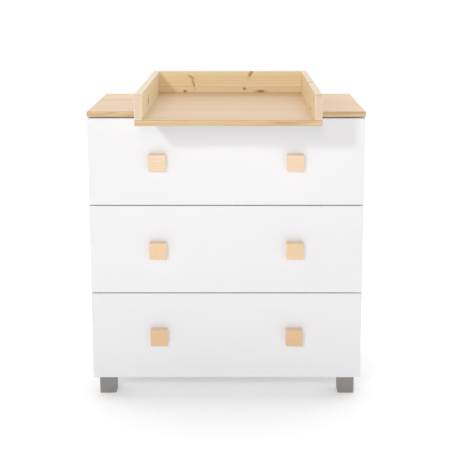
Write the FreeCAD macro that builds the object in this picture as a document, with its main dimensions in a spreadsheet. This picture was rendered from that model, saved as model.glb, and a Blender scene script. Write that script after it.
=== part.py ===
import FreeCAD, Part
import Sketcher
import os
import re

from FreeCAD import Placement, Rotation, Vector

# A three-drawer changing table: a white chest on four feet, with a pine changing tray on top that
# reaches out over the drawer fronts. Millimetres, +Z up, drawer fronts facing -Y, floor at z = 0.
# X is measured from the middle of the chest and Y from the middle of the whole depth.

DIMENSIONS = [
    ("chest_width", 900, "over the side panels and over the drawer fronts"),
    ("chest_depth", 545, "from the face of the drawer fronts to the wall"),
    ("board_thickness", 18, "side panels, bottom panel, rails under the top and drawer fronts"),
    ("side_height", 886.5, "side panels"),
    ("front_clearance", 2, "between the drawer fronts and the edges of the carcass"),
    ("rail_width", 80, "front and rear rail under the top board"),
    ("back_thickness", 3, "hardboard back panel"),
    ("back_inset", 2, "the back panel stays this far inside the outline of the side panels"),
    ("top_thickness", 18, "top board"),
    ("top_overhang", 2, "top board past each side panel"),
    ("top_rounding", 2.5, "edges of the top board"),
    ("foot_height", 63, "floor to the underside of the carcass"),
    ("foot_width", 54, "foot at the floor, across"),
    ("foot_depth", 58, "foot at the floor, front to back"),
    ("foot_draft", 0.7, "degrees that each side of a foot leans out, going up"),
    ("foot_setback", 2, "foot behind the front edge of the carcass"),
    ("foot_rounding", 3, "upright edges of a foot"),
    ("foot_floor_rounding", 1.5, "lower edge of a foot"),
    ("bolt_head_radius", 8, "foot bolt"),
    ("bolt_head_height", 3, "foot bolt"),
    ("bolt_radius", 4, "foot bolt"),
    ("bolt_length", 48, "foot bolt under its head"),
    ("cam_radius", 7.5, "cam that pulls two boards together"),
    ("cam_height", 12, "cam"),
    ("cam_chamfer", 0.6, "rim of the exposed face of a cam"),
    ("cam_backset", 34, "cam from the end of its board"),
    ("cam_edge_distance", 60, "cam from the front edge of its board"),
    ("nail_head_radius", 3, "nail of the back panel"),
    ("nail_head_height", 1, "nail of the back panel"),
    ("nail_radius", 0.9, "nail of the back panel"),
    ("nail_length", 20, "nail of the back panel"),
    ("nail_edge_distance", 9, "nail from the outline of the carcass"),
    ("wall_hole_radius", 3, "hole for a screw into the wall"),
    ("wall_hole_spacing", 600, "between the two holes for wall screws"),
    ("tray_width", 550, "changing tray, outside"),
    ("tray_depth", 790, "changing tray, outside"),
    ("tray_overhang", 350, "tray in front of the drawer fronts"),
    ("tray_offset", 10, "middle of the tray, to the right of the middle of the chest"),
    ("tray_base_thickness", 18, "tray base"),
    ("tray_base_rounding", 2.5, "edges of the tray base"),
    ("tray_rail_thickness", 21, "tray rails"),
    ("tray_rail_height", 76, "tray rails"),
    ("tray_rail_rounding", 2, "long upper edges of the tray rails"),
    ("tray_rail_nose", 7, "upper front corner of the tray's side rails"),
    ("wood_screw_radius", 2, "screws of the tray"),
    ("wood_screw_head_radius", 4, "screws of the tray"),
    ("wood_screw_head_height", 2.4, "screws of the tray"),
    ("rail_screw_length", 50, "screw up through the tray base into a rail"),
    ("rail_screw_margin", 75, "outermost screw from the end of the rail"),
    ("bracket_width", 36, "steel angle behind the tray"),
    ("bracket_leg", 40, "lower leg of the angle"),
    ("bracket_height", 60, "upright leg of the angle"),
    ("bracket_sheet", 2, "steel of the angle"),
    ("bracket_spacing", 330, "between the two angles"),
    ("bracket_screw_length", 14, "screw of the angle under its head"),
    ("bracket_screw_pitch", 18, "between the two screws of one leg"),
    ("drawer_reveal", 4, "between the top drawer front and the top board"),
    ("front_gap", 3, "between two drawer fronts"),
    ("front_height_bottom", 294, "bottom drawer front"),
    ("front_height_middle", 295, "middle drawer front"),
    ("front_height_top", 286.5, "top drawer front"),
    ("front_rounding", 1.2, "outer edges of a drawer front"),
    ("box_depth", 450, "drawer side"),
    ("box_height", 200, "drawer side"),
    ("box_thickness", 15, "drawer side and drawer back"),
    ("box_rise", 25, "drawer side above the lower edge of its front"),
    ("groove_rise", 10, "drawer bottom above the lower edge of the drawer side"),
    ("groove_depth", 6, "drawer bottom let into the drawer side"),
    ("bottom_thickness", 4, "drawer bottom"),
    ("knob_width", 56, "knob, across"),
    ("knob_height", 55, "knob, upright"),
    ("knob_projection", 28, "knob in front of the drawer front"),
    ("knob_rounding", 2, "edges of a knob"),
    ("knob_spacing", 450, "between the two knobs of a drawer"),
    ("knob_screw_radius", 2, "screw of a knob"),
    ("knob_screw_head_radius", 4.5, "screw of a knob"),
    ("knob_screw_head_height", 2.2, "screw of a knob"),
    ("knob_screw_length", 34, "screw of a knob under its head"),
    ("slide_gap", 13, "side panel to drawer side, filled by a slide"),
    ("slide_length", 450, "drawer slide"),
    ("slide_start", 4, "slide behind the front edge of the carcass"),
    ("slide_sheet", 1.2, "steel of a slide"),
    ("slide_rise", 70, "middle of a slide above the lower edge of the drawer side"),
    ("cabinet_rail_height", 45, "slide member on the side panel"),
    ("cabinet_rail_width", 10.5, "slide member on the side panel"),
    ("middle_rail_height", 35, "slide member between the two others"),
    ("middle_rail_width", 9, "slide member between the two others"),
    ("middle_rail_offset", 2.2, "middle member from the side panel"),
    ("drawer_rail_height", 24, "slide member on the drawer"),
    ("drawer_rail_width", 8, "slide member on the drawer"),
]

# Places that several sub-parts share, written with the aliases above.
FRONT_Y = "(tray_overhang - chest_depth) / 2"
CARCASS_Y = f"({FRONT_Y} + board_thickness + front_clearance)"
BACK_Y = f"({FRONT_Y} + chest_depth)"
PANEL_END_Y = f"({BACK_Y} - nail_head_height - back_thickness)"
CARCASS_DEPTH = f"({PANEL_END_Y} - {CARCASS_Y})"
INNER_WIDTH = "(chest_width - 2 * board_thickness)"
BOTTOM_TOP_Z = "(foot_height + board_thickness)"
SIDE_TOP_Z = "(foot_height + side_height)"
TABLE_Z = f"({SIDE_TOP_Z} + top_thickness)"
TRAY_X = "(tray_offset - tray_width / 2)"
TRAY_Y = f"({FRONT_Y} - tray_overhang)"
TRAY_BACK_Y = f"({TRAY_Y} + tray_depth)"
TRAY_FLOOR_Z = f"({TABLE_Z} + tray_base_thickness)"
WALL_HOLE_Z = f"({SIDE_TOP_Z} - rail_width / 2)"
DRAWER_WIDTH = f"({INNER_WIDTH} - 2 * slide_gap)"

# The lower edge of each drawer front, worked down from the top board.
TOP_FRONT_Z = f"({SIDE_TOP_Z} - drawer_reveal - front_height_top)"
MIDDLE_FRONT_Z = f"({TOP_FRONT_Z} - front_gap - front_height_middle)"
BOTTOM_FRONT_Z = f"({MIDDLE_FRONT_Z} - front_gap - front_height_bottom)"
DRAWERS = {"top": TOP_FRONT_Z, "middle": MIDDLE_FRONT_Z, "bottom": BOTTOM_FRONT_Z}

# How near an edge has to be to a face to count as lying on it.
EDGE_TEST = 0.01

doc = FreeCAD.newDocument("changing_table")
nodes = []


def make_sheet():
    """The spreadsheet of driving dimensions, one alias to a row."""
    sheet = doc.addObject("Spreadsheet::Sheet", "dims")
    for row, (alias, value, meaning) in enumerate(DIMENSIONS, start=1):
        sheet.set(f"A{row}", alias)
        sheet.set(f"B{row}", str(value))
        sheet.set(f"C{row}", meaning)
        sheet.setAlias(f"B{row}", alias)
    doc.recompute()
    return sheet


sheet = make_sheet()


def in_sheet(formula):
    """The formula with each alias written as a cell of the sheet."""
    return re.sub(r"[a-z]+(?:_[a-z]+)+", lambda found: "dims." + found.group(), formula)


def value_of(formula):
    return float(sheet.evalExpression(in_sheet(formula)))


def place(piece, x, y, z, turned=False):
    """Binds a piece's place to the sheet; turned is half a turn about the upright axis."""
    piece.Placement = Placement(Vector(), Rotation(Vector(0, 0, 1), 180 if turned else 0))
    for axis, formula in zip("xyz", (x, y, z)):
        piece.setExpression(f"Placement.Base.{axis}", in_sheet(formula))


def new_body(name):
    return doc.addObject("PartDesign::Body", name)


def origin_feature(body, role):
    return next(f for f in body.Origin.OriginFeatures if f.Role == role)


def new_sketch(body, role):
    sketch = body.newObject("Sketcher::SketchObject", body.Name + "_sketch")
    sketch.AttachmentSupport = [(origin_feature(body, role), "")]
    sketch.MapMode = "FlatFace"
    return sketch


def bind_point(sketch, geometry, point, corner):
    """Holds a point of the sketch at a corner given by two formulas."""
    for kind, formula in zip(("DistanceX", "DistanceY"), corner):
        index = sketch.addConstraint(
            Sketcher.Constraint(kind, -1, 1, geometry, point, value_of(formula))
        )
        sketch.setExpression(f"Constraints[{index}]", in_sheet(formula))


def outline(body, role, corners):
    """A closed straight-sided outline through corners given as pairs of formulas."""
    sketch = new_sketch(body, role)
    points = [Vector(value_of(across), value_of(up), 0) for across, up in corners]
    for start, end in zip(points, points[1:] + points[:1]):
        sketch.addGeometry(Part.LineSegment(start, end))
    for line in range(len(points)):
        following = (line + 1) % len(points)
        sketch.addConstraint(Sketcher.Constraint("Coincident", line, 2, following, 1))
    for line, corner in enumerate(corners):
        bind_point(sketch, line, 1, corner)
    return sketch


def circle(body, role, centre, radius):
    sketch = new_sketch(body, role)
    middle = Vector(value_of(centre[0]), value_of(centre[1]), 0)
    sketch.addGeometry(Part.Circle(middle, Vector(0, 0, 1), value_of(radius)))
    bind_point(sketch, 0, 3, centre)
    index = sketch.addConstraint(Sketcher.Constraint("Radius", 0, value_of(radius)))
    sketch.setExpression(f"Constraints[{index}]", in_sheet(radius))
    return sketch


def rectangle_corners(width, height):
    return [("0", "0"), (width, "0"), (width, height), ("0", height)]


def pad(body, sketch, length, reverse=False):
    feature = body.newObject("PartDesign::Pad", body.Name + "_pad")
    feature.Profile = sketch
    feature.Reversed = reverse
    feature.setExpression("Length", in_sheet(length))
    doc.recompute()
    return feature


def pocket(body, sketch, length, reverse=False):
    """A cut that has to take something away."""
    before = body.Shape.Volume
    feature = body.newObject("PartDesign::Pocket", body.Name + "_pocket")
    feature.Profile = sketch
    feature.Reversed = reverse
    feature.setExpression("Length", in_sheet(length))
    doc.recompute()
    if body.Shape.Volume >= before:
        raise RuntimeError(f"{feature.Name} cuts nothing")
    return feature


def revolve(body, sketch):
    """Turns a half outline about the upright axis of its sketch."""
    feature = body.newObject("PartDesign::Revolution", body.Name + "_turned")
    feature.Profile = sketch
    feature.ReferenceAxis = (sketch, ["V_Axis"])
    feature.Angle = 360
    doc.recompute()
    return feature


def repeat(body, feature, first, second=None):
    """Repeats a feature along one or two axes, each given as (role, length formula, count)."""
    pattern = body.newObject("PartDesign::LinearPattern", body.Name + "_pattern")
    pattern.Originals = [feature]
    role, length, count = first
    pattern.Direction = (origin_feature(body, role), [""])
    pattern.setExpression("Length", in_sheet(length))
    pattern.Occurrences = count
    if second:
        role, length, count = second
        pattern.Direction2 = (origin_feature(body, role), [""])
        pattern.setExpression("Length2", in_sheet(length))
        pattern.Occurrences2 = count
    body.Tip = pattern
    doc.recompute()
    return pattern


def fillet(body, radius, chosen):
    """Rounds the edges of the body's last feature whose bounding boxes satisfy the test."""
    last = body.Tip
    names = [
        f"Edge{number}"
        for number, edge in enumerate(last.Shape.Edges, start=1)
        if chosen(edge.BoundBox)
    ]
    rounded = body.newObject("PartDesign::Fillet", body.Name + "_fillet")
    rounded.Base = (last, names)
    rounded.setExpression("Radius", in_sheet(radius))
    doc.recompute()
    return rounded


def is_node(piece, label):
    """Makes a piece a sub-part of the table, under the name of its file."""
    piece.Label = label
    nodes.append(piece)
    return piece


def board(name, size, where, turned=False):
    """A board with its corner at the body's origin. size and where hold x, y and z formulas."""
    body = new_body(name)
    pad(body, outline(body, "XY_Plane", rectangle_corners(size[0], size[1])), size[2])
    place(body, *where, turned=turned)
    return body


def drilled(label, blank, fasteners):
    """The blank with the holes of the fasteners that enter it."""
    blank.Label = label + "_blank"
    for number, fastener in enumerate(fasteners, start=1):
        cut = doc.addObject("Part::Cut", f"{label}_drilled_{number}")
        cut.Base = blank
        cut.Tool = fastener
        blank = cut
    doc.recompute()
    return is_node(blank, label)


def group(label, pieces):
    """Separate solids that share one node."""
    together = doc.addObject("Part::Compound", label)
    together.Links = pieces
    doc.recompute()
    return is_node(together, label)


def pan_head_outline(body, role, head_radius, head_height, radius, length):
    """Half of a screw that points down its axis, with the seat of its head at the origin."""
    corners = [
        ("0", head_height),
        (head_radius, head_height),
        (head_radius, "0"),
        (radius, "0"),
        (radius, f"-{length}"),
        ("0", f"-{length}"),
    ]
    return outline(body, role, corners)


def wood_screw_outline(body):
    """Half of a countersunk screw that points up, with the flat of its head at the origin."""
    corners = [
        ("0", "0"),
        ("wood_screw_head_radius", "0"),
        ("wood_screw_radius", "wood_screw_head_height"),
        ("wood_screw_radius", "rail_screw_length"),
        ("0", "rail_screw_length"),
    ]
    return outline(body, "XZ_Plane", corners)


def make_feet():
    """Four moulded feet under the bottom panel, against the inner faces of the side panels."""
    left_x = f"-{INNER_WIDTH} / 2"
    right_x = f"{INNER_WIDTH} / 2 - foot_width"
    front_y = f"{CARCASS_Y} + foot_setback"
    rear_y = f"{PANEL_END_Y} - foot_setback - foot_depth"
    spots = {
        "front_left": (left_x, front_y),
        "front_right": (right_x, front_y),
        "rear_left": (left_x, rear_y),
        "rear_right": (right_x, rear_y),
    }
    for spot, (x, y) in spots.items():
        body = new_body("foot_" + spot)
        base = outline(body, "XY_Plane", rectangle_corners("foot_width", "foot_depth"))
        block = pad(body, base, "foot_height")
        block.setExpression("TaperAngle", in_sheet("foot_draft"))
        doc.recompute()
        fillet(body, "foot_rounding", lambda edge: edge.ZLength > block.Length.Value / 2)
        fillet(body, "foot_floor_rounding", lambda edge: edge.ZMax < EDGE_TEST)
        # The draft makes the top wider than the floor outline, so the foot sits in by that much.
        flare = "(foot_height * tan(foot_draft * 1deg))"
        inward = f"{x} + {flare}" if "left" in spot else f"{x} - {flare}"
        place(body, inward, f"{y} + {flare}", "0")
        drilled("foot_" + spot, body, [foot_bolts])


def make_foot_bolts():
    """One bolt down through the bottom panel into each foot."""
    body = new_body("foot_bolts")
    half = pan_head_outline(
        body, "XZ_Plane", "bolt_head_radius", "bolt_head_height", "bolt_radius", "bolt_length"
    )
    across = f"{INNER_WIDTH} - foot_width - 2 * foot_setback"
    along = f"{CARCASS_DEPTH} - foot_depth - 2 * foot_setback"
    repeat(body, revolve(body, half), ("X_Axis", across, 2), ("Y_Axis", along, 2))
    first_y = f"{CARCASS_Y} + foot_setback + foot_depth / 2"
    place(body, f"-({across}) / 2", first_y, BOTTOM_TOP_Z)
    return is_node(body, "foot_bolts")


def cam_outline(body):
    """Half of a cam with its exposed face, slightly chamfered, at the origin."""
    corners = [
        ("0", "0"),
        ("cam_radius - cam_chamfer", "0"),
        ("cam_radius", "cam_chamfer"),
        ("cam_radius", "cam_height"),
        ("0", "cam_height"),
    ]
    return outline(body, "XZ_Plane", corners)


def make_cams():
    """Cams under the bottom panel and under the front rail, drawing the side panels in."""
    across = f"({INNER_WIDTH} - 2 * cam_backset)"
    lower = new_body("bottom_panel_cams")
    along = f"{CARCASS_DEPTH} - 2 * (foot_depth + cam_edge_distance)"
    disc = revolve(lower, cam_outline(lower))
    repeat(lower, disc, ("X_Axis", across, 2), ("Y_Axis", along, 2))
    place(lower, f"-{across} / 2", f"{CARCASS_Y} + foot_depth + cam_edge_distance", "foot_height")
    upper = new_body("front_rail_cams")
    repeat(upper, revolve(upper, cam_outline(upper)), ("X_Axis", across, 2))
    rail_z = f"{SIDE_TOP_Z} - board_thickness"
    place(upper, f"-{across} / 2", f"{CARCASS_Y} + rail_width / 2", rail_z)
    return group("carcass_cams", [lower, upper])


def make_nails():
    """Nails through the back panel, seven up each side panel."""
    body = new_body("back_panel_nails")
    half_width = "(chest_width / 2 - nail_edge_distance)"
    half_height = "(side_height / 2 - nail_edge_distance)"
    half = pan_head_outline(
        body, "XY_Plane", "nail_head_radius", "nail_head_height", "nail_radius", "nail_length"
    )
    upright = revolve(body, half)
    repeat(
        body,
        upright,
        ("X_Axis", f"2 * {half_width}", 2),
        ("Z_Axis", f"2 * {half_height} - 2 * rail_width", 7),
    )
    lowest = "foot_height + nail_edge_distance + rail_width"
    place(body, f"-{half_width}", f"{BACK_Y} - nail_head_height", lowest)
    return is_node(body, "back_panel_nails")


def make_carcass():
    """Side panels, bottom panel, two rails, back panel and top board."""
    outer_x = "-chest_width / 2"
    inner_x = f"-{INNER_WIDTH} / 2"
    side_size = ("board_thickness", CARCASS_DEPTH, "side_height")
    left = board("side_panel_left", side_size, (outer_x, CARCASS_Y, "foot_height"))
    right = board(
        "side_panel_right", side_size, (f"{INNER_WIDTH} / 2", CARCASS_Y, "foot_height")
    )
    drilled("side_panel_left", left, [back_panel_nails])
    drilled("side_panel_right", right, [back_panel_nails])

    bottom_size = (INNER_WIDTH, CARCASS_DEPTH, "board_thickness")
    bottom = board("bottom_panel", bottom_size, (inner_x, CARCASS_Y, "foot_height"))
    drilled("bottom_panel", bottom, [foot_bolts, carcass_cams])

    rail_z = f"{SIDE_TOP_Z} - board_thickness"
    front_rail_size = (INNER_WIDTH, "rail_width", "board_thickness")
    front_rail = board("front_rail", front_rail_size, (inner_x, CARCASS_Y, rail_z))
    drilled("front_rail", front_rail, [carcass_cams])

    rear_rail_size = (INNER_WIDTH, "board_thickness", "rail_width")
    rear_rail_y = f"{PANEL_END_Y} - board_thickness"
    rear_rail = board("rear_rail", rear_rail_size, (inner_x, rear_rail_y, f"{SIDE_TOP_Z} - rail_width"))
    wall_holes(rear_rail, INNER_WIDTH, "rail_width / 2", "board_thickness")
    is_node(rear_rail, "rear_rail")

    back_width = "(chest_width - 2 * back_inset)"
    back_size = (back_width, "back_thickness", "side_height - 2 * back_inset")
    back_corner = ("back_inset - chest_width / 2", PANEL_END_Y, "foot_height + back_inset")
    back = board("back_panel", back_size, back_corner)
    wall_holes(back, back_width, f"{WALL_HOLE_Z} - foot_height - back_inset", "back_thickness")
    drilled("back_panel", back, [back_panel_nails])

    top_size = ("chest_width + 2 * top_overhang", "chest_depth", "top_thickness")
    top = board("top_board", top_size, ("-chest_width / 2 - top_overhang", FRONT_Y, SIDE_TOP_Z))
    fillet(top, "top_rounding", lambda edge: True)
    drilled("top_board", top, [tray_bracket_screws])


def wall_holes(body, width, height, thickness):
    """Two holes through an upright board, level with each other and about its middle."""
    first = (f"({width} - wall_hole_spacing) / 2", height)
    cut = pocket(body, circle(body, "XZ_Plane", first, "wall_hole_radius"), thickness)
    repeat(body, cut, ("X_Axis", "wall_hole_spacing", 2))


def make_tray_rail_screws():
    """Screws up through the tray base: three into each side rail and three into the back rail."""
    sides = new_body("side_rail_screws")
    across = "tray_width - tray_rail_thickness"
    along = "tray_depth - 2 * rail_screw_margin"
    screw = revolve(sides, wood_screw_outline(sides))
    repeat(sides, screw, ("X_Axis", across, 2), ("Y_Axis", along, 3))
    first_x = f"{TRAY_X} + tray_rail_thickness / 2"
    place(sides, first_x, f"{TRAY_Y} + rail_screw_margin", TABLE_Z)
    rear = new_body("back_rail_screws")
    spread = "(tray_width - 2 * tray_rail_thickness - 2 * rail_screw_margin)"
    repeat(rear, revolve(rear, wood_screw_outline(rear)), ("X_Axis", spread, 3))
    rear_y = f"{TRAY_BACK_Y} - tray_rail_thickness / 2"
    place(rear, f"tray_offset - {spread} / 2", rear_y, TABLE_Z)
    return group("tray_rail_screws", [sides, rear])


def bracket_screw_outline(body, role):
    """Half of a low round-headed screw of an angle, with its seat at the origin."""
    return pan_head_outline(
        body,
        role,
        "wood_screw_head_radius",
        "wood_screw_head_height",
        "wood_screw_radius",
        "bracket_screw_length",
    )


def make_bracket_screws():
    """Two screws down into the top board and two forward into the back rail, for each angle."""
    spread = ("X_Axis", "bracket_spacing", 2)
    first_x = "tray_offset - bracket_spacing / 2"
    down = new_body("tray_bracket_down_screws")
    repeat(
        down,
        revolve(down, bracket_screw_outline(down, "XZ_Plane")),
        spread,
        ("Y_Axis", "bracket_screw_pitch", 2),
    )
    outer = "bracket_leg - bracket_screw_pitch / 2 - bracket_screw_pitch"
    place(down, first_x, f"{TRAY_BACK_Y} + {outer}", f"{TABLE_Z} + bracket_sheet")
    forward = new_body("tray_bracket_forward_screws")
    repeat(
        forward,
        revolve(forward, bracket_screw_outline(forward, "XY_Plane")),
        spread,
        ("Z_Axis", "bracket_screw_pitch", 2),
    )
    upper = "bracket_height - bracket_screw_pitch / 2 - bracket_screw_pitch"
    place(forward, first_x, f"{TRAY_BACK_Y} + bracket_sheet", f"{TABLE_Z} + {upper}")
    return group("tray_bracket_screws", [down, forward])


def make_brackets():
    """Two steel angles that hold the back of the tray to the top board."""
    body = new_body("tray_brackets")
    corners = [
        ("0", "0"),
        ("bracket_leg", "0"),
        ("bracket_leg", "bracket_sheet"),
        ("bracket_sheet", "bracket_sheet"),
        ("bracket_sheet", "bracket_height"),
        ("0", "bracket_height"),
    ]
    angle = pad(body, outline(body, "YZ_Plane", corners), "bracket_width")
    repeat(body, angle, ("X_Axis", "bracket_spacing", 2))
    first_x = "tray_offset - bracket_spacing / 2 - bracket_width / 2"
    place(body, first_x, TRAY_BACK_Y, TABLE_Z)
    drilled("tray_brackets", body, [tray_bracket_screws])


def make_tray():
    """Tray base, two side rails and a back rail between them. The front is open."""
    base_size = ("tray_width", "tray_depth", "tray_base_thickness")
    base = board("tray_base", base_size, (TRAY_X, TRAY_Y, TABLE_Z))
    fillet(base, "tray_base_rounding", lambda edge: True)
    drilled("tray_base", base, [tray_rail_screws])

    height = value_of("tray_rail_height")
    rail_size = ("tray_rail_thickness", "tray_depth", "tray_rail_height")
    places = {"left": TRAY_X, "right": f"({TRAY_X} + tray_width - tray_rail_thickness)"}
    for side, x in places.items():
        rail = board("tray_rail_" + side, rail_size, (x, TRAY_Y, TRAY_FLOOR_Z))
        fillet(
            rail,
            "tray_rail_nose",
            lambda edge: edge.ZMin > height - EDGE_TEST and edge.YMax < EDGE_TEST,
        )
        fillet(rail, "tray_rail_rounding", lambda edge: edge.ZMin > height - EDGE_TEST)
        drilled("tray_rail_" + side, rail, [tray_rail_screws])

    back_size = ("tray_width - 2 * tray_rail_thickness", "tray_rail_thickness", "tray_rail_height")
    back_corner = (
        f"{TRAY_X} + tray_rail_thickness",
        f"{TRAY_BACK_Y} - tray_rail_thickness",
        TRAY_FLOOR_Z,
    )
    back = board("tray_rail_back", back_size, back_corner)
    fillet(
        back,
        "tray_rail_rounding",
        lambda edge: edge.ZMin > height - EDGE_TEST and edge.XLength > height,
    )
    drilled("tray_rail_back", back, [tray_rail_screws, tray_bracket_screws])


def make_knob_screws(level, front_z, front_height):
    """Two screws from inside the drawer, through its front, into the knobs."""
    body = new_body("knob_screws_" + level)
    half = pan_head_outline(
        body,
        "XY_Plane",
        "knob_screw_head_radius",
        "knob_screw_head_height",
        "knob_screw_radius",
        "knob_screw_length",
    )
    repeat(body, revolve(body, half), ("X_Axis", "knob_spacing", 2))
    knob_z = f"{front_z} + {front_height} / 2"
    place(body, "-knob_spacing / 2", f"{FRONT_Y} + board_thickness", knob_z)
    return is_node(body, "knob_screws_" + level)


def make_drawer(level, front_z):
    """Front, two sides, back, bottom, two knobs and their screws."""
    front_height = "front_height_" + level
    screws = make_knob_screws(level, front_z, front_height)
    name = "drawer_" + level + "_"

    front_size = ("chest_width", "board_thickness", front_height)
    front = board(name + "front", front_size, ("-chest_width / 2", FRONT_Y, front_z))
    fillet(front, "front_rounding", lambda edge: edge.YMax < EDGE_TEST)
    drilled(name + "front", front, [screws])

    box_z = f"({front_z} + box_rise)"
    box_y = f"({FRONT_Y} + board_thickness)"
    side_size = ("box_thickness", "box_depth", "box_height")
    groove = [
        ("box_thickness - groove_depth", "groove_rise"),
        ("box_thickness", "groove_rise"),
        ("box_thickness", "groove_rise + bottom_thickness"),
        ("box_thickness - groove_depth", "groove_rise + bottom_thickness"),
    ]
    left = board(name + "side_left", side_size, (f"-{DRAWER_WIDTH} / 2", box_y, box_z))
    right_corner = (f"{DRAWER_WIDTH} / 2", f"{box_y} + box_depth", box_z)
    right = board(name + "side_right", side_size, right_corner, turned=True)
    for body, side in ((left, "left"), (right, "right")):
        pocket(body, outline(body, "XZ_Plane", groove), "box_depth")
        is_node(body, name + "side_" + side)

    inner_width = f"({DRAWER_WIDTH} - 2 * box_thickness)"
    above_bottom = "(groove_rise + bottom_thickness)"
    back_size = (inner_width, "box_thickness", f"box_height - {above_bottom}")
    back_y = f"{box_y} + box_depth - box_thickness"
    back = board(name + "back", back_size, (f"-{inner_width} / 2", back_y, f"{box_z} + {above_bottom}"))
    is_node(back, name + "back")

    bottom_width = f"({inner_width} + 2 * groove_depth)"
    bottom_size = (bottom_width, "box_depth", "bottom_thickness")
    bottom_corner = (f"-{bottom_width} / 2", box_y, f"{box_z} + groove_rise")
    is_node(board(name + "bottom", bottom_size, bottom_corner), name + "bottom")

    knob_size = ("knob_width", "knob_projection", "knob_height")
    knob_z = f"{front_z} + {front_height} / 2 - knob_height / 2"
    for side, sign in (("left", "-"), ("right", "")):
        knob_x = f"{sign}knob_spacing / 2 - knob_width / 2"
        label = f"knob_{level}_{side}"
        knob = board(label, knob_size, (knob_x, f"{FRONT_Y} - knob_projection", knob_z))
        back_face = value_of("knob_projection") - EDGE_TEST
        fillet(knob, "knob_rounding", lambda edge: edge.YMin < back_face)
        drilled(label, knob, [screws])


def channel(name, width, height, where, turned):
    """A slide member: a thin channel with its web at the body's origin, open towards +X."""
    inner = f"{height} / 2 - slide_sheet"
    corners = [
        ("0", f"-{height} / 2"),
        (width, f"-{height} / 2"),
        (width, f"-({inner})"),
        ("slide_sheet", f"-({inner})"),
        ("slide_sheet", inner),
        (width, inner),
        (width, f"{height} / 2"),
        ("0", f"{height} / 2"),
    ]
    body = new_body(name)
    pad(body, outline(body, "XZ_Plane", corners), "slide_length", reverse=True)
    place(body, *where, turned=turned)
    return body


def make_slides(level, front_z):
    """The pair of telescopic slides of one drawer."""
    slide_z = f"{front_z} + box_rise + slide_rise"
    near_y = f"{CARCASS_Y} + slide_start"
    far_y = f"{near_y} + slide_length"
    middle_rails = []
    for side, sign, at_right in (("left", "-", False), ("right", "", True)):
        name = f"slide_{level}_{side}_"
        panel_x = f"{sign}{INNER_WIDTH} / 2"
        inward = "-" if at_right else "+"
        cabinet_y = far_y if at_right else near_y
        drawer_y = near_y if at_right else far_y
        cabinet = channel(
            name + "cabinet_rail",
            "cabinet_rail_width",
            "cabinet_rail_height",
            (panel_x, cabinet_y, slide_z),
            turned=at_right,
        )
        middle = channel(
            name + "middle_rail",
            "middle_rail_width",
            "middle_rail_height",
            (f"{panel_x} {inward} middle_rail_offset", cabinet_y, slide_z),
            turned=at_right,
        )
        drawer = channel(
            name + "drawer_rail",
            "drawer_rail_width",
            "drawer_rail_height",
            (f"{panel_x} {inward} slide_gap", drawer_y, slide_z),
            turned=not at_right,
        )
        is_node(cabinet, name + "cabinet_rail")
        is_node(drawer, name + "drawer_rail")
        middle_rails.append(middle)
    group(f"slide_{level}_middle_rails", middle_rails)


foot_bolts = make_foot_bolts()
carcass_cams = make_cams()
back_panel_nails = make_nails()
tray_rail_screws = make_tray_rail_screws()
tray_bracket_screws = make_bracket_screws()
make_feet()
make_carcass()
make_tray()
make_brackets()
for level, front_z in DRAWERS.items():
    make_drawer(level, front_z)
    make_slides(level, front_z)
doc.recompute()

for piece in doc.Objects:
    if {"Invalid", "Error"} & set(piece.State):
        raise RuntimeError(f"{piece.Label} did not recompute: {piece.State}")
for piece in nodes:
    shape = piece.Shape
    if shape.isNull() or not shape.isValid() or not shape.Solids:
        raise RuntimeError(f"{piece.Label} is not a valid solid")

os.makedirs("parts", exist_ok=True)
for piece in nodes:
    piece.Shape.exportStep(f"parts/{piece.Label}.step")
whole = Part.makeCompound([piece.Shape for piece in nodes]).optimalBoundingBox()
print(f"{len(nodes)} sub-parts, X {whole.XMin:.1f} to {whole.XMax:.1f}, "
      f"Y {whole.YMin:.1f} to {whole.YMax:.1f}, Z {whole.ZMin:.1f} to {whole.ZMax:.1f}")
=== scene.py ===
import math

import bmesh
import bpy
from mathutils import Matrix, Vector


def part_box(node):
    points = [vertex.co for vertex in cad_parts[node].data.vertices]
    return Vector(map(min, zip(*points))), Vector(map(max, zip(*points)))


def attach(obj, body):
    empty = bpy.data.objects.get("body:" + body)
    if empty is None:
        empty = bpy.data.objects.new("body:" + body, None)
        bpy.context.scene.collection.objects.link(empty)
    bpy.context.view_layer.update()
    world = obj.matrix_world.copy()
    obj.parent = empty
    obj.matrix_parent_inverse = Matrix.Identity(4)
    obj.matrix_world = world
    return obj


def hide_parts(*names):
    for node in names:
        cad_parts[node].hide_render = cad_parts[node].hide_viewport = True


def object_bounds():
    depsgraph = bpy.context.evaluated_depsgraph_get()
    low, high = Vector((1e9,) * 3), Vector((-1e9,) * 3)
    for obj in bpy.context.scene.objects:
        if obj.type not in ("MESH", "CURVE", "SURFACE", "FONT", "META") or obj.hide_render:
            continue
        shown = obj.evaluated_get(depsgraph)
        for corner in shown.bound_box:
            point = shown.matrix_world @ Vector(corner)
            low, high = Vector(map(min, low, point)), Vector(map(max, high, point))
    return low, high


# The looks of a three-drawer changing table. Metres, +Z up, drawer fronts facing -Y.
# The CAD pieces keep their shapes and get their materials here. The slides' ball cages, balls and
# screws are meshes made here, and so are the cross-recessed screws that stand for plain CAD ones.

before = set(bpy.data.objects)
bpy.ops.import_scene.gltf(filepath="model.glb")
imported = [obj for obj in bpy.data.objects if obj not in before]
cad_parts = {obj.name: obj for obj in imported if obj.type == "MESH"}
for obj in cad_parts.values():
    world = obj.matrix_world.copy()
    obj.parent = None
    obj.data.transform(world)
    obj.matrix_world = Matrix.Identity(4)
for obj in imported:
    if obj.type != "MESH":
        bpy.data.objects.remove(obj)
cad_low, cad_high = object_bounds()

LEVELS = ("top", "middle", "bottom")
SIDES = ("left", "right")
OUTWARD = {"left": -1, "right": 1}
MILLIMETRE = 0.001
WELD = 0.001 * MILLIMETRE


# ---------------------------------------------------------------- shader graphs


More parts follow.
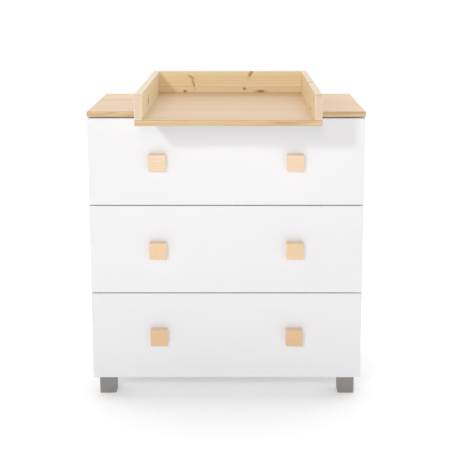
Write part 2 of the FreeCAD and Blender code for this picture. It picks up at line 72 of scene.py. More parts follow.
def srgb(red, green, blue):
    """A colour given as eight-bit sRGB, for a shader socket."""

    def linear(value):
        share = value / 255
        return share / 12.92 if share <= 0.04045 else ((share + 0.055) / 1.055) ** 2.4

    return (linear(red), linear(green), linear(blue), 1)


class Graph:
    """The nodes of one material, written as calls that return sockets."""

    def __init__(self, name):
        self.material = bpy.data.materials.new(name)
        self.material.use_nodes = True
        self.tree = self.material.node_tree
        self.shader = self.tree.nodes["Principled BSDF"]
        self.place = self.node("ShaderNodeTexCoord").outputs["Object"]

    def node(self, kind, **settings):
        made = self.tree.nodes.new(kind)
        for name, value in settings.items():
            setattr(made, name, value)
        return made

    def feed(self, socket, value):
        """Links a socket to a socket, or sets it."""
        if isinstance(value, bpy.types.NodeSocket):
            self.tree.links.new(value, socket)
        else:
            socket.default_value = value

    def math(self, operation, first, second=0.0):
        made = self.node("ShaderNodeMath", operation=operation)
        self.feed(made.inputs[0], first)
        self.feed(made.inputs[1], second)
        return made.outputs[0]

    def vector(self, operation, first, second=(0, 0, 0)):
        made = self.node("ShaderNodeVectorMath", operation=operation)
        self.feed(made.inputs[0], first)
        self.feed(made.inputs["Scale" if operation == "SCALE" else 1], second)
        return made.outputs["Value" if operation == "LENGTH" else "Vector"]

    def parts(self, place):
        made = self.node("ShaderNodeSeparateXYZ")
        self.feed(made.inputs[0], place)
        return made.outputs

    def joined(self, x, y, z):
        made = self.node("ShaderNodeCombineXYZ")
        for socket, value in zip(made.inputs, (x, y, z)):
            self.feed(socket, value)
        return made.outputs[0]

    def noise(self, place, stretch, detail=2.0, roughness=0.5):
        """Noise between 0 and 1 with a number of cells to the metre along each axis."""
        made = self.node("ShaderNodeTexNoise")
        self.feed(made.inputs["Vector"], self.vector("MULTIPLY", place, stretch))
        made.inputs["Scale"].default_value = 1
        made.inputs["Detail"].default_value = detail
        made.inputs["Roughness"].default_value = roughness
        return made.outputs["Fac"]

    def centred(self, value, size):
        """A value between 0 and 1 turned into one between -size and size."""
        return self.math("MULTIPLY", self.math("SUBTRACT", value, 0.5), 2 * size)

    def step(self, value, low, high, at_low=0.0, at_high=1.0):
        """A smooth step from at_low to at_high."""
        made = self.node("ShaderNodeMapRange", interpolation_type="SMOOTHSTEP")
        for name, number in (
            ("Value", value),
            ("From Min", low),
            ("From Max", high),
            ("To Min", at_low),
            ("To Max", at_high),
        ):
            self.feed(made.inputs[name], number)
        return made.outputs[0]

    def ramp(self, factor, stops):
        """Colours at places between 0 and 1."""
        made = self.node("ShaderNodeValToRGB")
        self.feed(made.inputs[0], factor)
        elements = made.color_ramp.elements
        while len(elements) < len(stops):
            elements.new(0.5)
        for element, (position, colour) in zip(elements, stops):
            element.position = position
            element.color = colour
        return made.outputs[0]

    def mix(self, factor, first, second, kind="MIX"):
        # A mix node keeps its two colours in sockets 6 and 7, and gives the colour out of socket 2.
        made = self.node("ShaderNodeMix", data_type="RGBA", blend_type=kind)
        self.feed(made.inputs[0], factor)
        self.feed(made.inputs[6], first)
        self.feed(made.inputs[7], second)
        return made.outputs[2]

    def either(self, factor, first, second):
        """The first vector where the factor is 0, and the second where it is 1."""
        # A mix node keeps its two vectors in sockets 4 and 5, and gives the vector out of socket 1.
        made = self.node("ShaderNodeMix", data_type="VECTOR")
        self.feed(made.inputs[0], factor)
        self.feed(made.inputs[4], first)
        self.feed(made.inputs[5], second)
        return made.outputs[1]

    def tinted(self, colour, value, size):
        """The colour made up to size lighter or darker as the value runs from 0 to 1."""
        shade = self.math("ADD", 1, self.centred(value, size))
        return self.mix(1, colour, self.joined(shade, shade, shade), "MULTIPLY")

    def edge_distance(self, node):
        """Distance along the surface of a box-shaped node to its nearest edge, in metres."""
        low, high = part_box(node)
        middle = (low + high) / 2
        half = (high - low) / 2
        inside = self.vector("ABSOLUTE", self.vector("SUBTRACT", self.place, tuple(middle)))
        x, y, z = self.parts(self.vector("SUBTRACT", tuple(half), inside))
        smaller = self.math("MINIMUM", x, y)
        larger = self.math("MAXIMUM", x, y)
        return self.math("MAXIMUM", smaller, self.math("MINIMUM", larger, z))

    def surface(self, colour, roughness, height=None, depth=0.0001, **uniform):
        """Finishes the material. Uniform values are set on the shader's own sockets."""
        self.feed(self.shader.inputs["Base Color"], colour)
        self.feed(self.shader.inputs["Roughness"], roughness)
        for name, value in uniform.items():
            self.shader.inputs[name.replace("_", " ").title()].default_value = value
        if height is not None:
            bump = self.node("ShaderNodeBump")
            bump.inputs["Distance"].default_value = depth
            self.feed(bump.inputs["Height"], height)
            self.feed(self.shader.inputs["Normal"], bump.outputs[0])
        return self.material


# ---------------------------------------------------------------- solid wood

# The palest tone is painted light: the left rail's pine is a lighter copy that stands in for light on the
# inside of that rail.
PINE_PAINTED_LIGHT = srgb(254, 243, 216)
PINE_EARLY = srgb(249, 231, 194)
PINE_MIDDLE = srgb(245, 219, 172)
PINE_LATE = srgb(229, 192, 138)
PINE_END = srgb(196, 171, 150)
PINE_KNOT = srgb(160, 104, 52)
PINE_KNOT_RIM = srgb(112, 66, 32)
PINE_HALO = srgb(212, 158, 92)
BEECH_LATE = srgb(214, 175, 132)
BEECH_END = srgb(252, 236, 210)
KNOB_TONES = {"top": srgb(229, 202, 172), "middle": srgb(229, 198, 159), "bottom": srgb(222, 184, 143)}

# A knot runs through the board, so its distance barely grows with depth: its half axis there, in metres.
KNOT_DEPTH = 0.08
# How much of the end colour a board's long upper and lower faces take on, beside 1 on its sawn ends. It is
# painted light: it makes the knobs' tops lighter, as if lit from above.
TOP_FACE_PAINTED_LIGHT = 0.55
# Half the width of the glue line between two lamellas, and how far the second one's rings are moved.
HALF_GLUE_LINE = 0.0004
LAMELLA_SHIFT = 0.043
# Each piece is cut from its own part of the noise: its seed moves it by these shares along each axis.
SEED_SHARES = (1.0, 0.7, 0.3)


class Knot:
    """A knot in a board: where it is as shares of the board's length and height, and its half
    axes in metres along the board and up it. The tilt turns it about the board's thickness."""

    def __init__(self, along, up, length, height, tilt=0.0, darkness=1.0):
        self.along = along
        self.up = up
        self.length = length
        self.height = height
        self.tilt = tilt
        self.darkness = darkness


def grain_place(graph, node, along):
    """Coordinates along the grain, up the board and through it, from the board's middle, and its spans."""
    low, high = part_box(node)
    local = graph.vector("SUBTRACT", graph.place, tuple((low + high) / 2))
    x, y, z = graph.parts(local)
    order = {"x": (x, z, y), "y": (y, z, x), "z": (z, x, y)}[along]
    return graph.joined(*order), high - low


def end_share(graph, along):
    """1 on the faces across the grain, a share of painted light on the upper and lower faces, else 0."""
    normal = graph.node("ShaderNodeTexCoord").outputs["Normal"]
    facing = graph.parts(graph.vector("ABSOLUTE", normal))
    sawn = graph.step(facing["xyz".index(along)], 0.6, 0.8)
    # Painted light: the upper and lower faces take on part of the end colour, which lightens the knobs' tops.
    top_painted_light = graph.step(facing[2], 0.6, 0.8, 0.0, TOP_FACE_PAINTED_LIGHT)
    return graph.math("MAXIMUM", sawn, top_painted_light)


def knot_distance(graph, place, knot, size):
    """Place from the knot's middle, and the distance to it in its own half axes."""
    middle = ((knot.along - 0.5) * size[0], (knot.up - 0.5) * size[1], 0)
    offset = graph.vector("SUBTRACT", place, middle)
    turned = graph.node("ShaderNodeVectorRotate", rotation_type="Z_AXIS")
    graph.feed(turned.inputs["Vector"], offset)
    turned.inputs["Angle"].default_value = -knot.tilt
    shares = graph.vector("DIVIDE", turned.outputs[0], (knot.length, knot.height, KNOT_DEPTH))
    return offset, graph.vector("LENGTH", shares)


def bend_round(graph, place, knots, size):
    """Grain coordinates that part round the knots, and each knot with its distance."""
    bent = place
    distances = []
    for knot in knots:
        offset, distance = knot_distance(graph, place, knot, size)
        distances.append((knot, distance))
        pull = graph.step(distance, 0.6, 4.5, -0.62, 0.0)
        across = graph.vector("MULTIPLY", offset, (0.0, 1.0, 0.0))
        bent = graph.vector("ADD", bent, graph.vector("SCALE", across, pull))
    return bent, distances


def growth_ring(graph, seeded, seed, pith, ring_width):
    """How far into its growth ring a point lies, from 0 to 1, for rings that wander about the pith."""
    wander = graph.noise(seeded, (2.2, 5.0, 5.0), detail=1)
    ripple = graph.noise(seeded, (14.0, 60.0, 60.0), detail=2)
    _, up, through = graph.parts(seeded)
    up_from_pith = graph.math("SUBTRACT", up, seed * SEED_SHARES[1] + pith[0])
    through_from_pith = graph.math("SUBTRACT", through, seed * SEED_SHARES[2] + pith[1])
    swayed = graph.math("ADD", up_from_pith, graph.centred(wander, 0.016))
    up_squared = graph.math("POWER", graph.math("ABSOLUTE", swayed), 2.0)
    through_squared = graph.math("POWER", graph.math("ABSOLUTE", through_from_pith), 2.0)
    distance = graph.math("SQRT", graph.math("ADD", up_squared, through_squared))
    radius = graph.math("ADD", distance, graph.centred(ripple, 0.0011))
    return graph.math("FRACT", graph.math("DIVIDE", radius, ring_width))


def paint_knots(graph, colour, seeded, distances):
    """Each knot's halo and, within it, its heart with a dark rim. Their outlines are ragged."""
    for knot, distance in distances:
        rough_edge = graph.centred(graph.noise(seeded, (180.0, 180.0, 180.0), detail=2), 0.28)
        ragged = graph.math("ADD", distance, rough_edge)
        halo = graph.step(ragged, 0.9, 2.6, 0.75 * knot.darkness, 0.0)
        colour = graph.mix(halo, colour, PINE_HALO)
        heart = graph.ramp(ragged, [(0.0, PINE_KNOT), (0.55, PINE_KNOT), (0.85, PINE_KNOT_RIM)])
        core = graph.step(ragged, 0.85, 1.12, 0.9 * knot.darkness, 0.0)
        colour = graph.mix(core, colour, heart)
    return colour


def wood(name, node, along, pith, ring_width, colours, knots=(), strip=None, seed=0.0, contrast=1.0):
    """Solid wood: rings about a pith beside the board, bent round the knots, with fine fibres.
    strip is the height of a second lamella along the upper edge."""
    graph = Graph(name)
    place, span = grain_place(graph, node, along)
    size = {"x": (span.x, span.z), "y": (span.y, span.z), "z": (span.z, span.x)}[along]
    early, middle, late, end = colours
    bent, distances = bend_round(graph, place, knots, size)
    seeded = graph.vector("ADD", bent, tuple(seed * share for share in SEED_SHARES))
    if strip is not None:
        _, height, _ = graph.parts(place)
        border = size[1] / 2 - strip
        upper = graph.step(height, border - HALF_GLUE_LINE, border + HALF_GLUE_LINE)
        moved = graph.joined(upper, graph.math("MULTIPLY", upper, LAMELLA_SHIFT), 0.0)
        seeded = graph.vector("ADD", seeded, moved)
    ring = growth_ring(graph, seeded, seed, pith, ring_width)
    rings = graph.ramp(ring, [(0.0, early), (0.45, middle), (0.82, late), (0.92, late), (1.0, early)])
    plain = graph.ramp(graph.noise(seeded, (1.6, 26.0, 26.0), detail=2), [(0.25, early), (0.75, middle)])
    colour = graph.mix(contrast, plain, rings)
    fibres = graph.noise(seeded, (22.0, 1500.0, 1500.0), detail=2)
    broad = graph.noise(seeded, (2.0, 16.0, 16.0), detail=2)
    colour = graph.tinted(colour, fibres, 0.05)
    colour = graph.tinted(colour, broad, 0.06)
    if strip is not None:
        colour = graph.mix(graph.math("MULTIPLY", upper, 0.45), colour, early)
    colour = paint_knots(graph, colour, seeded, distances)
    colour = graph.mix(end_share(graph, along), colour, graph.mix(0.2, end, colour))
    # Painted highlight: the wood turns lighter towards its edges, as where they catch the light.
    edge_highlight = graph.step(graph.edge_distance(node), 0.0008, 0.0035, 0.30, 0.0)
    colour = graph.mix(edge_highlight, colour, early)
    roughness = graph.step(fibres, 0.3, 0.7, 0.40, 0.52)
    relief = graph.math("ADD", graph.math("MULTIPLY", fibres, 0.6), graph.math("MULTIPLY", ring, -0.4))
    return graph.surface(colour, roughness, relief, depth=0.00012, coat_weight=0.12, coat_roughness=0.3)


# ---------------------------------------------------------------- boards

DECOR_LIGHT = srgb(231, 199, 158)
DECOR_DARK = srgb(217, 180, 134)
DECOR_TRAY_LIGHT = srgb(222, 190, 149)
DECOR_TRAY_DARK = srgb(208, 172, 126)
DECOR_EDGE_LIGHT = srgb(218, 191, 148)
DECOR_EDGE_DARK = srgb(180, 142, 92)
DECOR_PORE = srgb(186, 142, 94)
DECOR_BACKING = srgb(196, 192, 187)
LACQUER = srgb(230, 229, 230)
LACQUER_SHADE = srgb(225, 224, 226)
BOARD_WHITE = srgb(237, 237, 236)
BOARD_EDGE = srgb(226, 225, 222)
HARDBOARD_WHITE = srgb(233, 232, 229)
HARDBOARD_BROWN = srgb(168, 133, 98)
HARDBOARD_FIBRE = srgb(132, 99, 70)
# How far the short edges' banding is moved in the noise, so that it isn't a strip off the same print.
BANDING_SHIFT = 0.31


def decor(name, node, light, dark, seed):
    """Wood-decor melamine: a printed grain along X on the upper face and along each edge banding.
    The underside has a plain grey backing foil."""
    graph = Graph(name)
    low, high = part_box(node)
    local = graph.vector("SUBTRACT", graph.place, tuple((low + high) / 2))
    x, y, z = graph.parts(local)
    normal = graph.node("ShaderNodeTexCoord").outputs["Normal"]
    sideways, _, upward = graph.parts(graph.vector("ABSOLUTE", normal))
    side = graph.math("GREATER_THAN", sideways, 0.7)
    banded = graph.step(upward, 0.55, 0.75, 1.0, 0.0)
    underneath = graph.step(graph.parts(normal)[2], -0.9, -0.7, 1.0, 0.0)
    side_place = graph.joined(y, graph.math("ADD", z, BANDING_SHIFT), x)
    place = graph.either(side, local, side_place)
    sway = graph.noise(place, (2.5, 9.0, 9.0), detail=1)
    seeded = graph.vector("ADD", place, (seed, seed, seed))
    swayed = graph.vector("ADD", seeded, graph.joined(0.0, graph.centred(sway, 0.02), 0.0))
    bands = graph.noise(swayed, (1.3, 34.0, 34.0), detail=3, roughness=0.6)
    streaks = graph.noise(swayed, (7.0, 420.0, 420.0), detail=3, roughness=0.6)
    pores = graph.noise(swayed, (55.0, 1900.0, 1900.0), detail=1)
    face = graph.ramp(bands, [(0.28, light), (0.72, dark)])
    veins = graph.noise(swayed, (3.0, 260.0, 260.0), detail=2, roughness=0.6)
    band = graph.ramp(veins, [(0.30, DECOR_EDGE_LIGHT), (0.70, DECOR_EDGE_DARK)])
    colour = graph.mix(banded, face, band)
    colour = graph.tinted(colour, streaks, 0.09)
    colour = graph.mix(graph.step(pores, 0.66, 0.78, 0.0, 0.38), colour, DECOR_PORE)
    edge = graph.edge_distance(node)
    past_edge = graph.step(edge, 0.0006, 0.0014)
    short_of_face = graph.step(edge, 0.0018, 0.0028, 1.0, 0.0)
    seam = graph.math("MULTIPLY", past_edge, short_of_face)
    colour = graph.mix(graph.math("MULTIPLY", seam, 0.25), colour, DECOR_PORE)
    colour = graph.mix(underneath, colour, graph.tinted(DECOR_BACKING, bands, 0.03))
    roughness = graph.step(streaks, 0.3, 0.7, 0.36, 0.46)
    relief = graph.math("ADD", graph.math("MULTIPLY", streaks, 0.5), graph.math("MULTIPLY", pores, -0.5))
    return graph.surface(colour, roughness, relief, depth=0.00008)


def lacquer(name, node, seed):
    """White lacquered drawer front: faint orange peel, and painted shade that makes the edges slightly
    darker.
    """
    graph = Graph(name)
    seeded = graph.vector("ADD", graph.place, (seed, seed, seed))
    clouds = graph.noise(seeded, (2.4, 2.4, 2.4), detail=2)
    peel = graph.noise(seeded, (420.0, 420.0, 420.0), detail=2)
    colour = graph.mix(clouds, LACQUER, LACQUER_SHADE)
    edge = graph.edge_distance(node)
    # Painted shade: the edges are darkened slightly towards the shade colour.
    colour = graph.mix(graph.step(edge, 0.0004, 0.002, 0.35, 0.0), colour, LACQUER_SHADE)
    roughness = graph.step(clouds, 0.3, 0.7, 0.34, 0.42)
    return graph.surface(colour, roughness, peel, depth=0.00003, coat_weight=0.15, coat_roughness=0.2)


def white_board(name, node, seed):
    """White melamine board with a fine bead texture and an edge band."""
    graph = Graph(name)
    seeded = graph.vector("ADD", graph.place, (seed, seed, seed))
    clouds = graph.noise(seeded, (3.0, 3.0, 3.0), detail=2)
    beads = graph.noise(seeded, (900.0, 900.0, 900.0), detail=1)
    edge = graph.edge_distance(node)
    colour = graph.tinted(graph.mix(clouds, BOARD_WHITE, LACQUER_SHADE), beads, 0.012)
    past_edge = graph.step(edge, 0.0004, 0.001)
    short_of_face = graph.step(edge, 0.0012, 0.002, 1.0, 0.0)
    seam = graph.math("MULTIPLY", past_edge, short_of_face)
    colour = graph.mix(graph.math("MULTIPLY", seam, 0.5), colour, BOARD_EDGE)
    roughness = graph.step(beads, 0.3, 0.7, 0.40, 0.52)
    return graph.surface(colour, roughness, beads, depth=0.00005)


def hardboard(name, node, brown_axis, brown_above, seed):
    """Hardboard, printed white, with raw brown fibre on one face: the one that looks up brown_axis
    if brown_above, or else down it."""
    graph = Graph(name)
    seeded = graph.vector("ADD", graph.place, (seed, seed, seed))
    normal = graph.parts(graph.node("ShaderNodeTexCoord").outputs["Normal"])["XYZ".index(brown_axis)]
    signed = normal if brown_above else graph.math("MULTIPLY", normal, -1.0)
    raw = graph.math("GREATER_THAN", signed, 0.5)
    fibre = graph.noise(seeded, (260.0, 260.0, 260.0), detail=4, roughness=0.65)
    clouds = graph.noise(seeded, (5.0, 5.0, 5.0), detail=3)
    brown = graph.ramp(fibre, [(0.3, HARDBOARD_FIBRE), (0.62, HARDBOARD_BROWN)])
    brown = graph.tinted(brown, clouds, 0.08)
    white = graph.tinted(HARDBOARD_WHITE, graph.noise(seeded, (500.0, 500.0, 500.0), detail=1), 0.02)
    colour = graph.mix(raw, white, brown)
    roughness = graph.step(raw, 0.0, 1.0, 0.48, 0.82)
    return graph.surface(colour, roughness, fibre, depth=0.00012)


# ---------------------------------------------------------------- plastic and steel

PLASTIC = srgb(137, 134, 132)
# The lighter grey is a painted highlight for the feet's edges.
PLASTIC_EDGE_HIGHLIGHT = srgb(156, 153, 150)
ZINC_LIGHT = srgb(206, 208, 210)
ZINC_DARK = srgb(164, 168, 173)
CAGE_PLASTIC = srgb(232, 233, 234)
BALL_STEEL = srgb(214, 216, 220)


def foot_plastic(name, node):
    """Grey moulded plastic with a fine spark-eroded grain, and a painted highlight that makes it lighter
    along its edges.
    """
    graph = Graph(name)
    grain = graph.noise(graph.place, (1400.0, 1400.0, 1400.0), detail=2)
    clouds = graph.noise(graph.place, (30.0, 30.0, 30.0), detail=2)
    edge = graph.edge_distance(node)
    colour = graph.tinted(graph.tinted(PLASTIC, grain, 0.05), clouds, 0.04)
    # Painted highlight: the plastic is lighter along its edges, as where they catch the light.
    edge_highlight = graph.step(edge, 0.0015, 0.0045, 0.55, 0.0)
    colour = graph.mix(edge_highlight, colour, PLASTIC_EDGE_HIGHLIGHT)
    roughness = graph.step(grain, 0.3, 0.7, 0.42, 0.56)
    return graph.surface(colour, roughness, grain, depth=0.00008)


def zinc(name, cells):
    """Bright zinc on steel: faint spangles, and marks with a number of cells to the metre along each axis."""
    graph = Graph(name)
    marks = graph.noise(graph.place, cells, detail=2)
    spangle = graph.noise(graph.place, (140.0, 140.0, 140.0), detail=3)
    colour = graph.ramp(marks, [(0.2, ZINC_DARK), (0.8, ZINC_LIGHT)])
    colour = graph.tinted(colour, spangle, 0.05)
    roughness = graph.step(spangle, 0.3, 0.7, 0.26, 0.42)
    return graph.surface(colour, roughness, marks, depth=0.000006, metallic=1.0)


def moulded_white(name):
    """The white plastic of a ball cage, with a fine moulding grain."""
    graph = Graph(name)
    grain = graph.noise(graph.place, (1100.0, 1100.0, 1100.0), detail=1)
    colour = graph.tinted(CAGE_PLASTIC, grain, 0.02)
    return graph.surface(colour, graph.step(grain, 0.3, 0.7, 0.38, 0.5), grain, depth=0.00004)


def polished(name):
    """Bearing steel with the finest lapping marks."""
    graph = Graph(name)
    marks = graph.noise(graph.place, (2600.0, 2600.0, 2600.0), detail=1)
    colour = graph.tinted(BALL_STEEL, marks, 0.03)
    return graph.surface(colour, graph.step(marks, 0.3, 0.7, 0.12, 0.2), marks, depth=0.00001, metallic=1.0)


# ---------------------------------------------------------------- materials of the CAD pieces

FASTENERS = ("screws", "nails", "bolts", "cams", "brackets")


def dress(node, material):
    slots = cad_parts[node].data.materials
    slots.clear()
    slots.append(material)


def dress_tray():
    """Three knotty pine rails and a decor base."""
    pine = (PINE_EARLY, PINE_MIDDLE, PINE_LATE, PINE_END)
    left_knots = [
        Knot(0.33, 0.37, 0.011, 0.0095, tilt=0.35, darkness=0.85),
    ]
    right_knots = [
        Knot(0.12, 0.70, 0.006, 0.0085, darkness=0.75),
        Knot(0.28, 0.12, 0.011, 0.0040, darkness=1.0),
        Knot(0.466, 0.97, 0.009, 0.0050, darkness=0.9),
    ]
    back_knots = [
        Knot(0.224, 0.73, 0.0030, 0.0110, tilt=1.0, darkness=0.45),
        Knot(0.240, 0.43, 0.0032, 0.0150, tilt=0.32, darkness=0.5),
        Knot(0.18, 0.05, 0.0048, 0.0036, darkness=1.0),
        Knot(0.60, 0.17, 0.0042, 0.0038, darkness=0.85),
        Knot(0.645, 0.90, 0.0040, 0.0120, tilt=-0.55, darkness=0.75),
        Knot(0.715, 0.05, 0.0130, 0.0036, darkness=0.9),
    ]
    # The left rail's pine is a lighter copy of the pine, painted light for the inside of the left rail, which
    # the lamps leave dim.
    painted_light_pine = (PINE_PAINTED_LIGHT, PINE_EARLY, PINE_LATE, PINE_END)
    dress("tray_rail_left", wood("pine_left", "tray_rail_left", "y", (0.012, 0.046), 0.0042, painted_light_pine,
                                 left_knots, seed=1.7, contrast=0.45))
    dress("tray_rail_right", wood("pine_right", "tray_rail_right", "y", (-0.018, -0.052), 0.0040, pine,
                                  right_knots, seed=4.1, contrast=0.45))
    dress("tray_rail_back", wood("pine_back", "tray_rail_back", "x", (-0.030, 0.060), 0.0038, pine,
                                 back_knots, strip=0.016, seed=7.9, contrast=0.42))
    dress("tray_base", decor("decor_tray", "tray_base", DECOR_TRAY_LIGHT, DECOR_TRAY_DARK, 3.3))


def dress_carcass():
    dress("top_board", decor("decor_top", "top_board", DECOR_LIGHT, DECOR_DARK, 9.1))
    panels = ("side_panel_left", "side_panel_right", "bottom_panel", "front_rail", "rear_rail")
    for number, node in enumerate(panels):
        dress(node, white_board("white_" + node, node, 1.0 + number))
    dress("back_panel", hardboard("hardboard_back", "back_panel", "Y", True, 2.0))
    for end in ("front", "rear"):
        for side in SIDES:
            node = f"foot_{end}_{side}"
            dress(node, foot_plastic("plastic_" + node, node))


def dress_drawers():
    for number, level in enumerate(LEVELS):
        drawer = f"drawer_{level}_"
        dress(drawer + "front", lacquer("lacquer_" + level, drawer + "front", 2.0 + number))
        for part in ("side_left", "side_right", "back"):
            dress(drawer + part, white_board(f"white_{drawer}{part}", drawer + part, 11.0 + number))
        bottom = drawer + "bottom"
        dress(bottom, hardboard("hardboard_" + level, bottom, "Z", False, 5.0 + number))
        dress_knobs(number, level)


def dress_knobs(number, level):
    """The two knobs of a drawer, cut from one board: the same tone, other rings."""
    beech = (KNOB_TONES[level], KNOB_TONES[level], BEECH_LATE, BEECH_END)
    for column, side in enumerate(SIDES):
        node = f"knob_{level}_{side}"
        pith = (0.055 + 0.012 * number, 0.075 - 0.02 * column)
        seed = 0.37 * (1 + number) + 1.9 * column
        dress(node, wood("knob_wood_" + node, node, "x", pith, 0.0052, beech, seed=seed, contrast=0.4))


def dress_steel():
    """Zinc on the slides and the fasteners. Gives back the fasteners' material."""
    lengthwise = zinc("zinc_lengthwise", (900.0, 9.0, 900.0))
    turned = zinc("zinc_turned", (500.0, 500.0, 500.0))
    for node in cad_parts:
        if node.startswith("slide_"):
            dress(node, lengthwise)
        elif any(word in node for word in FASTENERS):
            dress(node, turned)
    return turned


# ---------------------------------------------------------------- ball cages and screws

RAIL_SHEET = 1.2 * MILLIMETRE
CAGE_LENGTH = 235 * MILLIMETRE
CAGE_SHEET = 0.6 * MILLIMETRE
CAGE_SOFTENING = 0.12 * MILLIMETRE
CAGE_PITCH = 26 * MILLIMETRE
CAGE_BRIDGE = 7 * MILLIMETRE
# The share of a cage's height that its windows take up.
CAGE_WINDOW = 0.72
# How far the outer cage's lips and balls lie inside the middle member's web, and the balls' radius.
OUTER_LIPS = 8 * MILLIMETRE
OUTER_BALLS = 4.8 * MILLIMETRE
OUTER_BALL_RADIUS = 1.8 * MILLIMETRE
# The same for the inner cage, its lips from its own web.
INNER_LIPS = 6.4 * MILLIMETRE
INNER_BALLS = 5.8 * MILLIMETRE
INNER_BALL_RADIUS = 2.0 * MILLIMETRE

# Screw heads: the corners round them, the rings of corners on the crown, and the cross's half length
# and half width, as shares of the radius.
HEAD_SIDES = 24
HEAD_RINGS = (1, 0.86, 0.68)
CROSS_REACH = 0.55
CROSS_SLOT = 0.13
# The cross's floor: its size as a share of the mouth, and its height as a share of the crown there.
CROSS_FLOOR = 0.9
CROSS_FLOOR_HEIGHT = 0.25
# The share of its height that a head's crown loses at the rim.
CROWN_FALL = 0.55
# A screw's corners beyond this share of its radius belong to its head.
HEAD_SHARE = 0.8
# A shank's radius between its threads and at its tip, as shares of its outer radius.
SHANK_SIDES = 20
THREAD_PITCH = 1.5 * MILLIMETRE
THREAD_ROOT = 0.8
THREAD_TIP = 0.15
# Slide screws: radius and height of the head, and their places as shares of the member's length.
FLUSH_HEAD = (3.6 * MILLIMETRE, 0.18 * MILLIMETRE)
ROUND_HEAD = (3.2 * MILLIMETRE, 1.7 * MILLIMETRE)
CABINET_SCREWS = (0.08, 0.5, 0.92)
DRAWER_SCREWS = (0.06, 0.46, 0.94)


def piece_from(name, form, body, material):
    """Turns a bmesh into a piece that rides on a body."""
    bmesh.ops.recalc_face_normals(form, faces=form.faces)
    mesh = bpy.data.meshes.new(name)
    form.to_mesh(mesh)
    form.free()
    mesh.materials.append(material)
    piece = bpy.data.objects.new(name, mesh)
    bpy.context.scene.collection.objects.link(piece)
    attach(piece, body)
    return piece


def ball_cage(name, body, side, web, lips, reach, start, material):
    """A channel-shaped cage: its web at one x, its flanges at middle height plus and minus half,
    running in to lips, with windows punched in the web. Gives back the middles of its bridges."""
    middle, half = reach
    outline = [
        (lips, middle + half),
        (web, middle + half),
        (web, middle + half * CAGE_WINDOW),
        (web, middle - half * CAGE_WINDOW),
        (web, middle - half),
        (lips, middle - half),
    ]
    web_strip = 2
    count = int(CAGE_LENGTH / CAGE_PITCH)
    stations = [start]
    for number in range(count):
        window = start + CAGE_BRIDGE / 2 + number * CAGE_PITCH
        stations += [window, window + CAGE_PITCH - CAGE_BRIDGE]
    stations.append(start + CAGE_LENGTH)
    form = bmesh.new()
    rows = [[form.verts.new((OUTWARD[side] * x, y, z)) for x, z in outline] for y in stations]
    for number, (near, far) in enumerate(zip(rows, rows[1:])):
        for strip in range(len(outline) - 1):
            punched = strip == web_strip and number % 2 == 1
            if not punched:
                form.faces.new((near[strip], near[strip + 1], far[strip + 1], far[strip]))
    cage = piece_from(name, form, body, material)
    sheet = cage.modifiers.new("sheet", "SOLIDIFY")
    sheet.thickness = CAGE_SHEET
    sheet.offset = 0
    soften = cage.modifiers.new("soften", "BEVEL")
    soften.width = CAGE_SOFTENING
    soften.segments = 2
    return [start + CAGE_PITCH * number for number in range(1, count)]


def balls(name, body, side, x, reach, radius, places, material):
    """Two rows of bearing balls in the flanges of a cage."""
    middle, half = reach
    form = bmesh.new()
    for y in places:
        for up in (-1, 1):
            centre = Matrix.Translation((OUTWARD[side] * x, y, middle + up * half))
            bmesh.ops.create_icosphere(form, subdivisions=3, radius=radius, matrix=centre)
    for face in form.faces:
        face.smooth = True
    piece_from(name, form, body, material)


def standing(place, way):
    """The matrix that sets a shape made on the ground at a place, its upright axis along way."""
    return Matrix.Translation(place) @ way.to_track_quat("Z", "Y").to_matrix().to_4x4()


def ring_of(form, stand, radius, height, sides):
    """A circle of corners about the upright axis of a stand."""
    corners = []
    for step in range(sides):
        turn = 2 * math.pi * step / sides
        corner = Vector((radius * math.cos(turn), radius * math.sin(turn), height))
        corners.append(form.verts.new(stand @ corner))
    return corners


def join_rings(form, lower, upper):
    """Faces all the way round between two closed rows of corners."""
    for step in range(len(lower)):
        following = (step + 1) % len(lower)
        form.faces.new((lower[step], lower[following], upper[following], upper[step]))


def screw_head(form, place, facing, radius, height):
    """Adds a domed head with a cross recess, its flat side at place and its crown towards facing."""
    stand = standing(place, facing)
    reach = radius * CROSS_REACH
    slot = radius * CROSS_SLOT

    def crown(distance):
        return height * (1 - CROWN_FALL * (distance / radius) ** 2)

    base = ring_of(form, stand, radius, 0, HEAD_SIDES)
    lower = base
    for share in HEAD_RINGS:
        upper = ring_of(form, stand, radius * share, crown(radius * share), HEAD_SIDES)
        join_rings(form, lower, upper)
        lower = upper
    # The mouth of the recess is a cross with twelve corners; its floor is the same cross, smaller.
    cross = [
        (reach, slot), (slot, slot), (slot, reach),
        (-slot, reach), (-slot, slot), (-reach, slot),
        (-reach, -slot), (-slot, -slot), (-slot, -reach),
        (slot, -reach), (slot, -slot), (reach, -slot),
    ]
    deep = crown(reach) * CROSS_FLOOR_HEIGHT
    mouth = [form.verts.new(stand @ Vector((x, y, crown(math.hypot(x, y))))) for x, y in cross]
    floor = [form.verts.new(stand @ Vector((x * CROSS_FLOOR, y * CROSS_FLOOR, deep))) for x, y in cross]
    join_rings(form, floor, mouth)
    form.faces.new(floor)
    form.faces.new(list(reversed(base)))
    edges = []
    for loop in (upper, mouth):
        for first, second in zip(loop, loop[1:] + loop[:1]):
            edge = form.edges.get((first, second))
            edges.append(edge if edge else form.edges.new((first, second)))
    bmesh.ops.triangle_fill(form, edges=edges, use_beauty=True, use_dissolve=False)


